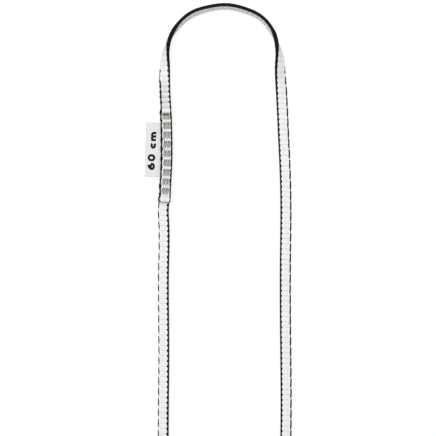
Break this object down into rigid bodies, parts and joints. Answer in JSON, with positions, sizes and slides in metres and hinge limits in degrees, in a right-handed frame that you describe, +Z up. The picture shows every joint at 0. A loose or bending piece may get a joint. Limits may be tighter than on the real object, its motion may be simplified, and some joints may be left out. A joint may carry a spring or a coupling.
{
  "type": "climbing sling",
  "caption": "Sewn loop of narrow white webbing with black woven edges, laid flat, its overlap closed by bartacks that hold a small cloth label",
  "frame": {"origin": "on the surface under the sling, in the middle of its bounding box seen from above", "axes": "+X across the loop from the sewn leg to the plain leg, +Y along the loop towards the bend next to the label, +Z up from the surface that it lies on"},
  "size_m": [0.1126, 0.5422, 0.0084],
  "materials": {
    "webbing_white": "flat-woven high-modulus polyethylene webbing, slightly waxy",
    "edge_yarn_black": "black polyamide edge yarn woven into the web's two edges",
    "thread_olive": "olive sewing thread of the first bartack",
    "thread_grey": "grey-olive bonded sewing thread",
    "label_cloth": "smooth white woven label tape, bare"
  },
  "bodies": {
    "sling": {"webbing": "webbing_white", "outer_selvedge": "edge_yarn_black", "inner_selvedge": "edge_yarn_black", "label_tail": "label_cloth", "needle_thread_1": "thread_olive", "needle_thread_2": "thread_grey", "needle_thread_3": "thread_grey", "needle_thread_4": "thread_grey", "needle_thread_5": "thread_grey", "needle_thread_6": "thread_grey", "needle_thread_7": "thread_grey", "needle_thread_8": "thread_grey", "needle_thread_9": "thread_grey", "bobbin_thread_1": "thread_olive", "bobbin_thread_2": "thread_grey", "bobbin_thread_3": "thread_grey", "bobbin_thread_4": "thread_grey", "bobbin_thread_5": "thread_grey", "bobbin_thread_6": "thread_grey", "bobbin_thread_7": "thread_grey", "bobbin_thread_8": "thread_grey", "bobbin_thread_9": "thread_grey"},
    "label": {"label_flap": "label_cloth"}
  },
  "joints": [
    {"name": "label_fold", "type": "hinge", "parent": "sling", "child": "label", "pos_m": [-0.04432, 0.16271, 0.00272], "axis": [0.0082, 1, 0], "range_deg": [-77, 101]}
  ]
}
